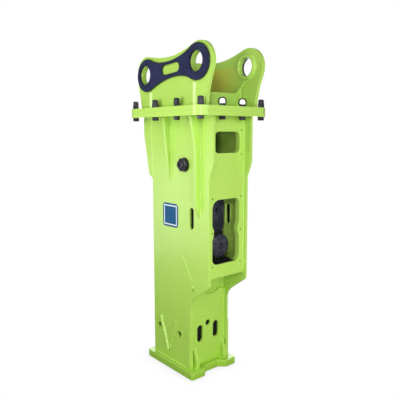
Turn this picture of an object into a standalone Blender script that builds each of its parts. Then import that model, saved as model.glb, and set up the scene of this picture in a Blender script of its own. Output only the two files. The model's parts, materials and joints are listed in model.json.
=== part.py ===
"""A hydraulic breaker hammer: a box housing, its top bracket and the power cell inside.

Metres, +Z up. The origin is on the floor under the middle of the overall box. +X is the side of the
windows, -Y the near side plate, and the tool axis stands at TOOL_X.
"""

import math

import bmesh
import bpy
from mathutils import Matrix, Vector

GAP = 0.0003  # between pieces that touch
OVERLAP = 0.004  # how far a welded-on rib reaches into its plate

# Box housing
TOOL_X = -0.0975
SIDE_Y = 0.143  # outer face of a side plate
SIDE_THICK = 0.016
INNER_Y = SIDE_Y - SIDE_THICK
REAR_X = -0.243
LOWER_FRONT_X = 0.1025
FRONT_X = 0.2550
UPPER_FRONT_X = 0.2860
BASE_THICK = 0.042
FLANGE_Z = 1.4535  # underside of the top flange
PANEL_X = 0.2405  # front face of the panel that holds the windows
PANEL_THICK = 0.028
PANEL_LOW_Z = 0.606
LOWER_PLATE_X = 0.0865  # front face of the lower front plate
LOWER_PLATE_THICK = 0.012
LOWER_PLATE_TOP = 0.466
REAR_THICK = 0.010
SLOPE_LOW_Z = 0.447  # where the side plate's sloping lower edge starts and ends
SLOPE_HIGH_Z = 0.556
SHELF_THICK = 0.012
SLOT_X = 0.115
SLOT_Z = 0.910
PLUG_X = 0.0575
PLUG_Z = 1.1985
PLUG_FLATS = 0.068
PLUG_RADIUS = 0.020

# Bolted flange joint and bracket
FLANGE_X = -0.01025  # middle of both flange plates
FLANGE_LENGTH = 0.6415
FLANGE_WIDTH = 0.500
FLANGE_THICK = 0.025
FLANGE_RADIUS = 0.060
BOLT_RADIUS = 0.010
BOLT_EDGE = 0.034  # bolt row to flange edge
NUT_FLATS = 0.030
BRACKET_Z = FLANGE_Z + FLANGE_THICK
EAR_BASE_Z = BRACKET_Z + FLANGE_THICK
EAR_Y = 0.184  # outer face of an ear
EAR_THICK = 0.020
DOUBLER_THICK = 0.012
FRONT_PIN = (0.2145, 1.721)
REAR_PIN = (-0.2305, 1.690)
PIN_BORE = 0.050
BOSS_RADIUS = 0.066
BOSS_INNER_Y = 0.150
BOSS_CHAMFER = 0.003
EAR_LOBES = ((0.226, 1.715, 0.105), (-0.228, 1.6985, 0.092))  # middle and radius, front and rear
DOUBLER_LOBES = ((0.2195, 1.7175, 0.091), (-0.2145, 1.686, 0.089))
DOUBLER_BORE = 0.0515

# Power cell
CELL_FLOAT = 0.002  # travel each way between the dampers
CELL_HALF_X = 0.120
CELL_HALF_Y = 0.118
HEAD_HALF_X = 0.1305
HEAD_Z = 0.0725
CYLINDER_Z = 0.430
BACK_HEAD_Z = 1.060
BACK_HEAD_TOP = 1.300
TOOL_BORE = 0.084
BUSHING_RADIUS = 0.1005
TOOL_OPENING = 0.105  # in the foot plate and the lower damper
PISTON_BORE = 0.062
ROD_BORE = 0.0505
STAY_X = 0.095  # through bolts, either side of the tool axis
STAY_Y = 0.092
STAY_RADIUS = 0.017
RETAINER_X = 0.096
RETAINER_Z = 0.220
RETAINER_RADIUS = 0.0165
RETAINER_HALF = 0.105
VALVE_FRONT_X = 0.125
VALVE_Z = (0.824, 1.030)
SPOOL_X = 0.070
SPOOL_RADIUS = 0.020
ACCUMULATOR = (0.0, 0.006, 0.750)  # a point on its axis
ACCUMULATOR_RADIUS = 0.066
ACCUMULATOR_FRONT_X = 0.188


def clear_scene():
    for obj in list(bpy.data.objects):
        bpy.data.objects.remove(obj, do_unlink=True)


def make_finish(name, color, roughness, metallic):
    finish = bpy.data.materials.new(name)
    finish.use_nodes = True
    shader = finish.node_tree.nodes["Principled BSDF"]
    shader.inputs["Base Color"].default_value = (*color, 1.0)
    shader.inputs["Roughness"].default_value = roughness
    shader.inputs["Metallic"].default_value = metallic
    return finish


# Outlines: lists of points in a plane


def arc(centre, radius, start, end, steps):
    angles = [math.radians(start + (end - start) * i / steps) for i in range(steps + 1)]
    return [(centre[0] + radius * math.cos(a), centre[1] + radius * math.sin(a)) for a in angles]


def circle(centre, radius, steps=16):
    return arc(centre, radius, 0, 360, steps)[:-1]


def hexagon(centre, flats):
    return circle(centre, flats / math.sqrt(3), 6)


def obround(centre, length, width, angle=90, steps=6):
    """A slot with round ends, its long axis at this angle."""
    radius = width / 2
    reach = length / 2 - radius
    turn = math.radians(angle)
    ends = []
    for side in (1, -1):
        middle = (centre[0] + side * reach * math.cos(turn), centre[1] + side * reach * math.sin(turn))
        first = angle - 90 if side > 0 else angle + 90
        ends += arc(middle, radius, first, first + 180, steps)
    return ends


def rounded(corners, steps=4):
    """The polygon through corners (x, y, radius), with an arc at each corner that has a radius."""
    points = []
    for index, (x, y, radius) in enumerate(corners):
        corner = Vector((x, y))
        if not radius:
            points.append((x, y))
            continue
        back = (Vector(corners[index - 1][:2]) - corner).normalized()
        ahead = (Vector(corners[(index + 1) % len(corners)][:2]) - corner).normalized()
        half = back.angle(ahead) / 2
        reach = radius / math.tan(half)
        centre = corner + (back + ahead).normalized() * (radius / math.sin(half))
        start = corner + back * reach - centre
        turn = start.angle_signed(corner + ahead * reach - centre)
        for step in range(steps + 1):
            swung = Matrix.Rotation(-turn * step / steps, 2) @ start
            points.append(tuple(centre + swung))
    return points


def box_outline(x, y, radius=0.0, steps=4):
    """A rectangle over the ranges x and y."""
    corners = [(x[0], y[0]), (x[1], y[0]), (x[1], y[1]), (x[0], y[1])]
    return rounded([(*corner, radius) for corner in corners], steps)


def lobe_arc(lobe, start, end, steps):
    return arc(lobe[:2], lobe[2], start, end, steps)


def bezier(start, out, into, end, steps=8):
    """Points after start up to end, on the curve that leaves by out and arrives by into."""
    start, end = Vector(start), Vector(end)
    handles = (start, start + Vector(out), end - Vector(into), end)
    points = []
    for step in range(1, steps + 1):
        t = step / steps
        weights = ((1 - t) ** 3, 3 * t * (1 - t) ** 2, 3 * t * t * (1 - t), t**3)
        points.append(tuple(sum((w * h for w, h in zip(weights, handles)), Vector((0, 0)))))
    return points


# Meshes


PLANES = {"X": (1, 2, 0), "Y": (0, 2, 1), "Z": (0, 1, 2)}


def prism(outline, low, high, along):
    """The outline swept from low to high. It lies in (y, z) along X, (x, z) along Y, (x, y) along Z."""
    first, second, normal = PLANES[along]
    shape = bmesh.new()
    rings = []
    for level in (low, high):
        ring = []
        for u, v in outline:
            place = [0.0, 0.0, 0.0]
            place[first], place[second], place[normal] = u, v, level
            ring.append(shape.verts.new(place))
        rings.append(ring)
    shape.faces.new(rings[0])
    shape.faces.new(rings[1])
    for index in range(len(outline)):
        after = (index + 1) % len(outline)
        shape.faces.new((rings[0][index], rings[0][after], rings[1][after], rings[1][index]))
    return finished(shape)


def turned(profile, centre, along="Z", steps=24, ring=False):
    """The profile of (radius, height) points spun about an axis through centre; a ring's profile is closed."""
    shape = bmesh.new()
    verts = [shape.verts.new((radius, 0.0, height)) for radius, height in profile]
    pairs = list(zip(verts, verts[1:]))
    if ring:
        pairs.append((verts[-1], verts[0]))
    edges = [shape.edges.new(pair) for pair in pairs]
    bmesh.ops.spin(
        shape, geom=verts + edges, cent=(0, 0, 0), axis=(0, 0, 1), angle=math.tau, steps=steps, use_merge=True
    )
    bmesh.ops.remove_doubles(shape, verts=shape.verts, dist=1e-6)
    if along == "X":
        bmesh.ops.rotate(shape, verts=shape.verts, matrix=Matrix.Rotation(math.pi / 2, 3, "Y"))
    if along == "Y":
        bmesh.ops.rotate(shape, verts=shape.verts, matrix=Matrix.Rotation(-math.pi / 2, 3, "X"))
    bmesh.ops.translate(shape, verts=shape.verts, vec=centre)
    return finished(shape)


def finished(shape):
    bmesh.ops.recalc_face_normals(shape, faces=shape.faces)
    mesh = bpy.data.meshes.new("shape")
    shape.to_mesh(mesh)
    shape.free()
    return mesh


def combine(base, others, operation):
    """The base mesh after an exact Boolean with each of the others."""
    scene_objects = bpy.context.scene.collection.objects
    host = bpy.data.objects.new("host", base)
    scene_objects.link(host)
    tools = []
    for mesh in others:
        tool = bpy.data.objects.new("tool", mesh)
        scene_objects.link(tool)
        modifier = host.modifiers.new("boolean", "BOOLEAN")
        modifier.operation = operation
        modifier.solver = "EXACT"
        modifier.object = tool
        tools.append(tool)
    bpy.context.view_layer.update()
    graph = bpy.context.evaluated_depsgraph_get()
    result = bpy.data.meshes.new_from_object(host.evaluated_get(graph))
    for obj in [host, *tools]:
        bpy.data.objects.remove(obj)
    return result


def cut(base, *cutters):
    return combine(base, cutters, "DIFFERENCE")


def joined(base, *others):
    return combine(base, others, "UNION")


def add_frame(name, place=(0, 0, 0), parent=None):
    """An empty that pieces hang on."""
    frame = bpy.data.objects.new(name, None)
    bpy.context.scene.collection.objects.link(frame)
    frame.parent = parent
    frame.location = Vector(place) - world_place(parent)
    return frame


def world_place(frame):
    total = Vector((0, 0, 0))
    while frame:
        total += frame.location
        frame = frame.parent
    return total


def add_piece(name, mesh, finish, parent, origin=(0, 0, 0)):
    """A named piece whose mesh is given in world coordinates and whose own origin is moved to origin."""
    mesh.name = name
    mesh.transform(Matrix.Translation(-Vector(origin)))
    mesh.materials.clear()
    mesh.materials.append(finish)
    mesh.shade_smooth()
    mesh.set_sharp_from_angle(angle=math.radians(30))
    piece = bpy.data.objects.new(name, mesh)
    bpy.context.scene.collection.objects.link(piece)
    piece.parent = parent
    piece.location = Vector(origin) - world_place(parent)
    return piece


# Box housing


def side_rib(side, x, depths):
    """A rib on the outside of a side plate, from (depth, z) points down its outer edge."""
    root = side * (SIDE_Y - OVERLAP)
    edge = [(side * (SIDE_Y + depth), z) for depth, z in depths]
    return prism([(root, depths[0][1])] + edge + [(root, depths[-1][1])], x, x + SIDE_THICK, "X")


def side_plate(side):
    top = FLANGE_Z - GAP
    corners = [
        (REAR_X, BASE_THICK + GAP, 0),
        (LOWER_FRONT_X, BASE_THICK + GAP, 0),
        (LOWER_FRONT_X, SLOPE_LOW_Z, 0.090),
        (FRONT_X, SLOPE_HIGH_Z, 0.030),
        (FRONT_X, 1.132, 0.015),
        (UPPER_FRONT_X, 1.212, 0.015),
        (UPPER_FRONT_X, top, 0),
        (-0.3255, top, 0),
        (-0.3255, 1.356, 0.020),
        (-0.2800, 1.126, 0.020),
        (REAR_X, 1.106, 0.010),
    ]
    faces = sorted((side * SIDE_Y, side * INNER_Y))
    through = sorted((side * (SIDE_Y + 0.01), side * (INNER_Y - 0.01)))
    strip_faces = sorted((side * (SIDE_Y + 0.006), side * (SIDE_Y - OVERLAP)))
    strip = box_outline((0.0805, LOWER_FRONT_X - 0.0005), (BASE_THICK + 2 * GAP, 0.270), 0.004, 2)
    plate = joined(
        prism(rounded(corners, 8), *faces, "Y"),
        prism(strip, *strip_faces, "Y"),
        side_rib(side, -0.0795, [(0.047, top - 0.0005), (0.012, 1.130), (0.001, 1.109)]),
        side_rib(
            side, 0.1715, [(0.063, top - 0.0005), (0.030, 1.281), (0.030, 0.996), (0.001, 0.918)]
        ),
    )
    retainer_hole = RETAINER_RADIUS + 0.0025
    return cut(
        plate,
        prism(obround((SLOT_X, SLOT_Z), 0.120, 0.036, steps=10), *through, "Y"),
        prism(circle((PLUG_X, PLUG_Z), PLUG_RADIUS + GAP, 24), *through, "Y"),
        prism(circle((TOOL_X - RETAINER_X, RETAINER_Z), retainer_hole, 24), *through, "Y"),
        prism(circle((TOOL_X + RETAINER_X, RETAINER_Z), retainer_hole, 24), *through, "Y"),
        prism(circle((0.1245, 0.512), 0.007, 12), *through, "Y"),
    )


def window_outline():
    """The lower window, which narrows beside its middle pair of screws and reaches further to -Y."""
    low, high, middle, neck = 0.668, 1.018, 0.842, 0.011
    far, near = 0.092, -0.105
    return rounded(
        [
            (far, low, 0.032),
            (far, middle - 0.040, 0.020),
            (far - neck, middle - 0.012, 0.020),
            (far - neck, middle + 0.012, 0.020),
            (far, middle + 0.040, 0.020),
            (far, high, 0.030),
            (near, high, 0.048),
            (near, middle + 0.040, 0.020),
            (near + neck, middle + 0.012, 0.020),
            (near + neck, middle - 0.012, 0.020),
            (near, middle - 0.040, 0.020),
            (near, low, 0.032),
        ],
        6,
    )


def front_panel():
    width = INNER_Y - GAP
    plate = prism(
        box_outline((-width, width), (PANEL_LOW_Z, FLANGE_Z - GAP)), PANEL_X - PANEL_THICK, PANEL_X, "X"
    )
    through = (PANEL_X - PANEL_THICK - 0.01, PANEL_X + 0.01)
    cutters = [
        prism(window_outline(), *through, "X"),
        prism(box_outline((-0.090, 0.090), (1.262, 1.375), 0.028, 6), *through, "X"),
    ]
    for z in (0.660, 0.842, 1.025, 1.254, 1.384):
        for y in (-0.104, 0.104):
            cutters.append(prism(circle((y, z), 0.0055, 8), *through, "X"))
    return cut(plate, *cutters)


def shelf_plate():
    """An angle that closes the step below the panel: a wall behind the lower plate and a roof on it."""
    width = INNER_Y - GAP
    wall_front = LOWER_PLATE_X - LOWER_PLATE_THICK - GAP
    wall_rear = wall_front - SHELF_THICK
    top = PANEL_LOW_Z - GAP
    front = PANEL_X - 0.0005
    foot = LOWER_PLATE_TOP - 0.036
    outline = [
        (wall_rear, foot),
        (wall_front, foot),
        (wall_front, top - SHELF_THICK),
        (front, top - SHELF_THICK),
        (front, top),
        (wall_rear, top),
    ]
    return prism(outline, -width, width, "Y")


def lower_front_plate():
    width = INNER_Y - GAP
    rear = LOWER_PLATE_X - LOWER_PLATE_THICK
    top = LOWER_PLATE_TOP
    plate = prism(box_outline((-width, width), (BASE_THICK + GAP, top)), rear, LOWER_PLATE_X, "X")
    gussets = []
    for y in (-0.105, 0.105):
        root = LOWER_PLATE_X - OVERLAP
        foot = BASE_THICK + 2 * GAP
        nose = LOWER_PLATE_X + 0.036
        outline = [(root, foot), (nose, foot), (nose, 0.094), (LOWER_PLATE_X + 0.003, 0.158), (root, 0.158)]
        gussets.append(prism(outline, y - 0.011, y + 0.011, "Y"))
    through = (rear - 0.01, LOWER_PLATE_X + 0.01)
    return cut(
        joined(plate, *gussets),
        prism(obround((-0.060, 0.228), 0.100, 0.042, steps=10), *through, "X"),
        prism(obround((0.060, 0.228), 0.100, 0.042, steps=10), *through, "X"),
        prism(circle((0.0, 0.280), 0.018, 20), *through, "X"),
        prism(obround((0.026, top + 0.026), 0.125, 0.084, 0, 12), *through, "X"),
    )


def rear_panel():
    width = INNER_Y - GAP
    outline = box_outline((-width, width), (BASE_THICK + GAP, FLANGE_Z - GAP))
    return prism(outline, REAR_X, REAR_X + REAR_THICK, "X")


def rear_lower_plate():
    outline = box_outline((-0.138, 0.138), (0.090, 0.312), 0.015, 3)
    return prism(outline, REAR_X - GAP - 0.008, REAR_X - GAP, "X")


def base_flange():
    """The foot plate, with a shallow recess between its two front corners."""
    rear, front, half, radius, bottom = -0.2825, 0.1475, 0.170, 0.016, 0.052
    deep = front - 0.034
    corners = [
        (rear, -half, radius),
        (front, -half, radius),
        (front, -0.073, 0.012),
        (deep, -bottom, 0.014),
        (deep, bottom, 0.022),
        (front, 0.092, 0.018),
        (front, half, radius),
        (rear, half, radius),
    ]
    plate = prism(rounded(corners, 5), 0.0, BASE_THICK, "Z")
    return cut(plate, prism(circle((TOOL_X, 0.0), TOOL_OPENING, 32), -0.01, BASE_THICK + 0.01, "Z"))


# Flange joint and bracket


def bolt_places():
    """The flange bolts stand in four columns and four rows, along the edges only."""
    reach_x = FLANGE_LENGTH / 2 - BOLT_EDGE
    reach_y = FLANGE_WIDTH / 2 - BOLT_EDGE
    columns = [FLANGE_X + reach_x * share for share in (-1, -1 / 3, 1 / 3, 1)]
    rows = [reach_y * share for share in (-1, -1 / 3, 1 / 3, 1)]
    edge_columns = (columns[0], columns[-1])
    edge_rows = (rows[0], rows[-1])
    return [(x, y) for y in rows for x in columns if x in edge_columns or y in edge_rows]


def flange_plate(low):
    half = FLANGE_LENGTH / 2
    outline = box_outline(
        (FLANGE_X - half, FLANGE_X + half), (-FLANGE_WIDTH / 2, FLANGE_WIDTH / 2), FLANGE_RADIUS, 8
    )
    plate = prism(outline, low, low + FLANGE_THICK - GAP, "Z")
    holes = [
        prism(circle(place, BOLT_RADIUS + 0.0006, 10), low - 0.01, low + FLANGE_THICK + 0.01, "Z")
        for place in bolt_places()
    ]
    return cut(plate, *holes)


def housing_top_flange():
    opening = box_outline((-0.228, 0.215), (-0.120, 0.120), 0.030, 3)
    return cut(flange_plate(FLANGE_Z), prism(opening, FLANGE_Z - 0.01, FLANGE_Z + 0.05, "Z"))


def flange_bolt():
    """A bolt with its head below, its washers and its cap nut, about the middle of the flange joint."""
    grip = FLANGE_THICK + GAP
    washer = grip + 0.003
    nut = washer + 0.021
    tip = grip + 0.044
    shank = BOLT_RADIUS - GAP
    wide, dome = 0.0185, 0.013
    profile = [(0, -washer), (wide, -washer), (wide, -grip), (shank, -grip), (shank, grip)]
    profile += [(wide, grip), (wide, washer), (dome, washer), (dome, tip - 0.010)]
    profile += [(dome - 0.0025, tip - 0.004), (dome - 0.0065, tip - 0.001), (0, tip)]
    return joined(
        turned(profile, (0, 0, 0), steps=16),
        prism(hexagon((0, 0), NUT_FLATS), washer - 0.001, nut, "Z"),
        prism(hexagon((0, 0), NUT_FLATS), -washer - 0.0155, -washer + 0.001, "Z"),
    )


def ear_outline():
    """Two lobes round the pin bores on a waisted stem, from the front foot up and over to the rear foot."""
    foot = EAR_BASE_Z + GAP
    front_foot = (0.2790, foot)
    rear_foot = (-0.2830, foot)
    front = lobe_arc(EAR_LOBES[0], -25, 110, 20)
    rear = lobe_arc(EAR_LOBES[1], 80, 195, 16)
    points = [front_foot]
    points += bezier(front_foot, (0.003, 0.060), (0.020, 0.045), front[0])
    points += front[1:]
    points += bezier(front[-1], (-0.160, -0.0582), (-0.167, 0.0294), rear[0], 12)
    points += rear[1:]
    points += bezier(rear[-1], (0.004, -0.050), (0.008, -0.050), rear_foot)
    return points


def ear_bar(side, x, high):
    """A low half-round bar up the outside of an ear."""
    return prism(circle((x, side * (EAR_Y - 0.005)), 0.014, 20), EAR_BASE_Z + 2 * GAP, high, "Z")


def bracket_ear(side):
    faces = sorted((side * EAR_Y, side * (EAR_Y - EAR_THICK)))
    through = sorted((side * (EAR_Y + 0.01), side * (EAR_Y - EAR_THICK - 0.01)))
    holes = [prism(circle(pin, BOSS_RADIUS + GAP, 48), *through, "Y") for pin in (FRONT_PIN, REAR_PIN)]
    bars = [ear_bar(side, -0.190, 1.592), ear_bar(side, 0.192, 1.620)]
    return cut(joined(prism(ear_outline(), *faces, "Y"), *bars), *holes)


def doubler_outline():
    """The dog-bone plate: a round lobe about each bore and a slim waist."""
    front = lobe_arc(DOUBLER_LOBES[0], -118, 122, 30)
    rear = lobe_arc(DOUBLER_LOBES[1], 64, 295, 28)
    points = list(front)
    points += bezier(front[-1], (-0.085, -0.053), (-0.090, 0.044), rear[0], 12)
    points += rear[1:]
    points += bezier(rear[-1], (0.095, 0.0443), (0.095, -0.0505), front[0], 12)[:-1]
    return points


def doubler_plate(side):
    inner = EAR_Y + GAP
    faces = sorted((side * inner, side * (inner + DOUBLER_THICK)))
    through = sorted((side * (inner - 0.01), side * (inner + DOUBLER_THICK + 0.01)))
    slant = math.degrees(math.atan2(FRONT_PIN[1] - REAR_PIN[1], FRONT_PIN[0] - REAR_PIN[0]))
    return cut(
        prism(doubler_outline(), *faces, "Y"),
        prism(circle(FRONT_PIN, DOUBLER_BORE, 48), *through, "Y"),
        prism(circle(REAR_PIN, DOUBLER_BORE, 48), *through, "Y"),
        prism(obround((0.003, 1.704), 0.157, 0.051, slant, 8), *through, "Y"),
    )


def pin_boss(side, pin):
    inner, outer = side * BOSS_INNER_Y, side * EAR_Y
    eased = inner + side * BOSS_CHAMFER
    profile = [(PIN_BORE, eased), (PIN_BORE + BOSS_CHAMFER, inner), (BOSS_RADIUS - BOSS_CHAMFER, inner)]
    profile += [(BOSS_RADIUS, eased), (BOSS_RADIUS, outer), (PIN_BORE, outer)]
    return turned(profile, (pin[0], 0, pin[1]), "Y", 48, ring=True)


def bracket_web(front_x, top):
    """A cross plate between the ears, its top edge swept up at both ends."""
    half = EAR_Y - EAR_THICK - GAP
    foot = EAR_BASE_Z + GAP
    swept = top + 0.034
    outline = [(-half, foot), (half, foot), (half, swept)]
    outline += bezier((half, swept), (-0.016, -0.022), (-0.022, 0), (half - 0.048, top), 5)
    outline += bezier((half - 0.048, top), (0, 0), (0, 0), (-half + 0.048, top), 1)
    outline += bezier((-half + 0.048, top), (-0.022, 0), (-0.016, 0.022), (-half, swept), 5)
    return prism(outline, front_x - SIDE_THICK, front_x, "X")


# Power cell


def stay_places():
    return [(TOOL_X + sx * STAY_X, sy * STAY_Y) for sx in (-1, 1) for sy in (-1, 1)]


def cell_block(half_x, low, high, front=None):
    """A rounded block about the tool axis."""
    limit = TOOL_X + half_x if front is None else front
    outline = box_outline((TOOL_X - half_x, limit), (-CELL_HALF_Y, CELL_HALF_Y), 0.022, 3)
    return prism(outline, low, high, "Z")


def tool_hole(radius, low, high, steps=24):
    return prism(circle((TOOL_X, 0.0), radius, steps), low, high, "Z")


def stay_holes(low, high):
    return [prism(circle(place, STAY_RADIUS + 0.0006, 10), low, high, "Z") for place in stay_places()]


def retainer_bore(side):
    centre = (TOOL_X + side * RETAINER_X, RETAINER_Z)
    return prism(circle(centre, RETAINER_RADIUS + 0.0005), -CELL_HALF_Y - 0.01, CELL_HALF_Y + 0.01, "Y")


def front_head():
    top = CYLINDER_Z - GAP
    return cut(
        cell_block(HEAD_HALF_X, HEAD_Z, top),
        tool_hole(TOOL_BORE, HEAD_Z - 0.01, top + 0.01),
        tool_hole(BUSHING_RADIUS + GAP, HEAD_Z - 0.02, 0.2),
        tool_hole(BUSHING_RADIUS + GAP, 0.33, top + 0.02),
        retainer_bore(-1),
        retainer_bore(1),
        *stay_holes(0.285, top + 0.03),
    )


def bushing(low, high):
    profile = [(TOOL_BORE, low), (BUSHING_RADIUS, low), (BUSHING_RADIUS, high), (TOOL_BORE, high)]
    return turned(profile, (TOOL_X, 0, 0), ring=True)


def cylinder():
    low, high = CYLINDER_Z, BACK_HEAD_Z - GAP
    return cut(
        cell_block(CELL_HALF_X, low, high),
        tool_hole(PISTON_BORE, low - 0.01, high + 0.01),
        *stay_holes(low - 0.02, high + 0.02),
    )


def back_head():
    """The block that closes the cylinder and holds the gas chamber, open below."""
    boss = turned([(0, 1.25), (0.085, 1.25), (0.085, 1.372), (0.077, 1.38), (0, 1.38)], (TOOL_X, 0, 0))
    chamber = tool_hole(ROD_BORE, BACK_HEAD_Z - 0.01, 1.26)
    block = cell_block(CELL_HALF_X, BACK_HEAD_Z, BACK_HEAD_TOP)
    return cut(joined(block, boss), chamber, *stay_holes(BACK_HEAD_Z - 0.02, BACK_HEAD_TOP + 0.045))


def through_bolt(place):
    """A long stud with its nut on the back head's shoulder."""
    foot, seat = 0.290, BACK_HEAD_TOP + GAP
    stud = prism(circle(place, STAY_RADIUS, 10), foot, seat + 0.047, "Z")
    return joined(stud, prism(hexagon(place, 0.040), seat, seat + 0.033, "Z"))


def piston():
    """Nose, guide land with its grooves, and the rod that enters the gas chamber."""
    land = PISTON_BORE - 0.0005
    profile = [(0, 0.405), (0.052, 0.405), (0.0565, 0.410), (0.0565, 0.600), (land, 0.604)]
    for groove in (0.660, 0.740):
        profile += [(land, groove), (land - 0.004, groove), (land - 0.004, groove + 0.008)]
        profile.append((land, groove + 0.008))
    rod = ROD_BORE - 0.0005
    profile += [(land, 0.856), (rod, 0.860), (rod, 1.134), (rod - 0.006, 1.140), (0, 1.140)]
    return turned(profile, (TOOL_X, 0, 0))


def seal_carrier():
    low, high = 0.985, BACK_HEAD_Z - 2 * GAP
    profile = [(ROD_BORE, low), (PISTON_BORE - GAP, low), (PISTON_BORE - GAP, high), (ROD_BORE, high)]
    return turned(profile, (TOOL_X, 0, 0), ring=True)


def retaining_pin(side):
    x = TOOL_X + side * RETAINER_X
    half, radius, bevel = RETAINER_HALF, RETAINER_RADIUS, 0.003
    profile = [(0, -half), (radius - bevel, -half), (radius, bevel - half)]
    profile += [(radius, half - bevel), (radius - bevel, half), (0, half)]
    return turned(profile, (x, 0, RETAINER_Z), "Y", 16)


def valve_body():
    rear = TOOL_X + CELL_HALF_X + GAP
    low, high = VALVE_Z
    block = prism(box_outline((-0.085, 0.085), (low, high), 0.012, 2), rear, VALVE_FRONT_X, "X")
    return cut(
        block,
        prism(circle((SPOOL_X, 0.0), SPOOL_RADIUS + 0.0005), low + 0.015, high + 0.01, "Z"),
        prism(circle((0.035, 0.940), 0.0095, 12), 0.10, VALVE_FRONT_X + 0.01, "X"),
    )


def valve_spool():
    """Three lands on a thin core."""
    land, core, foot = SPOOL_RADIUS, 0.013, 0.860
    profile = [(0, foot)]
    for step in range(3):
        low = foot + 0.045 * step
        profile += [(core, low), (land, low), (land, low + 0.024), (core, low + 0.024)]
    profile.append((0, foot + 0.114))
    return turned(profile[:1] + profile[2:-2] + profile[-1:], (SPOOL_X, 0, 0), steps=16)


def valve_cap():
    seat = VALVE_Z[1] + GAP
    profile = [(0, seat), (0.034, seat), (0.034, seat + 0.016), (0.030, seat + 0.020), (0, seat + 0.020)]
    return turned(profile, (SPOOL_X, 0, 0), steps=16)


def throttle_adjuster():
    """A screw in the valve body's front, with a hexagonal head."""
    centre = (0.035, 0.940)
    seat = VALVE_FRONT_X + GAP
    return joined(
        prism(circle(centre, 0.009, 12), 0.102, seat + 0.004, "X"),
        prism(hexagon(centre, 0.026), seat, seat + 0.014, "X"),
    )


def hose_adapter(y):
    seat = VALVE_Z[1] + GAP
    body = joined(
        prism(hexagon((SPOOL_X, y), 0.034), seat, seat + 0.016, "Z"),
        prism(circle((SPOOL_X, y), 0.014, 12), seat + 0.012, seat + 0.040, "Z"),
    )
    return cut(body, prism(circle((SPOOL_X, y), 0.008, 10), seat + 0.006, seat + 0.050, "Z"))


def accumulator_body():
    """A round pot on the cylinder's front, open towards its cover."""
    rear = TOOL_X + CELL_HALF_X + GAP
    outer = ACCUMULATOR_RADIUS
    profile = [(0, rear), (outer + 0.006, rear), (outer + 0.006, rear + 0.012), (outer, rear + 0.016)]
    profile += [(outer, 0.146), (0.0503, 0.146), (0.0503, 0.141), (0.044, 0.141), (0.038, 0.085), (0, 0.070)]
    return turned(profile, ACCUMULATOR, "X", 40)


def accumulator_diaphragm():
    profile = [(0, 0.1413), (0.0500, 0.1413), (0.0500, 0.1457), (0, 0.1457)]
    return turned(profile, ACCUMULATOR, "X", 40)


def accumulator_cover():
    """A domed lid, dished inside, with a charging plug in its middle."""
    outer, front, seat = ACCUMULATOR_RADIUS, ACCUMULATOR_FRONT_X, 0.146 + GAP
    profile = [(0, 0.155), (0.030, 0.152), (0.040, seat), (outer, seat), (outer, front - 0.010)]
    profile += [(outer - 0.010, front - 0.002), (0.014, front), (0.014, front + 0.008), (0, front + 0.008)]
    return turned(profile, ACCUMULATOR, "X", 40)


def gas_valve():
    rear = TOOL_X + CELL_HALF_X + GAP
    centre = (0.0, 1.180)
    return joined(
        prism(hexagon(centre, 0.030), rear, rear + 0.018, "X"),
        prism(circle(centre, 0.009, 12), rear + 0.014, rear + 0.034, "X"),
    )


def grease_nipple():
    rear = TOOL_X + HEAD_HALF_X + GAP
    profile = [(0, rear), (0.007, rear), (0.007, rear + 0.008), (0.004, rear + 0.011)]
    profile += [(0.004, rear + 0.016), (0.005, rear + 0.019), (0.002, rear + 0.022), (0, rear + 0.022)]
    return turned(profile, (0, 0, 0.280), "X", 10)


def upper_damper():
    low, high = 1.38 + CELL_FLOAT + 0.0005, BRACKET_Z - GAP
    waist = (low + high) / 2
    return turned([(0, low), (0.080, low), (0.084, waist), (0.080, high), (0, high)], (TOOL_X, 0, 0))


def lower_damper():
    low, high = BASE_THICK + GAP, HEAD_Z - CELL_FLOAT - 0.0005
    return cut(cell_block(0.128, low, high), tool_hole(TOOL_OPENING, low - 0.01, high + 0.01))


def side_plug(side):
    """A hexagon-headed plug screwed through a side plate."""
    centre = (PLUG_X, PLUG_Z)
    seat, tip = SIDE_Y + GAP, SIDE_Y + 0.036
    shank = sorted((side * (INNER_Y - 0.006), side * (seat + 0.004)))
    head = sorted((side * seat, side * (seat + 0.024)))
    crown = sorted((side * (seat + 0.020), side * tip))
    return joined(
        prism(circle(centre, PLUG_RADIUS, 24), *shank, "Y"),
        prism(hexagon(centre, PLUG_FLATS), *head, "Y"),
        prism(circle(centre, 0.026, 24), *crown, "Y"),
    )


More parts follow.
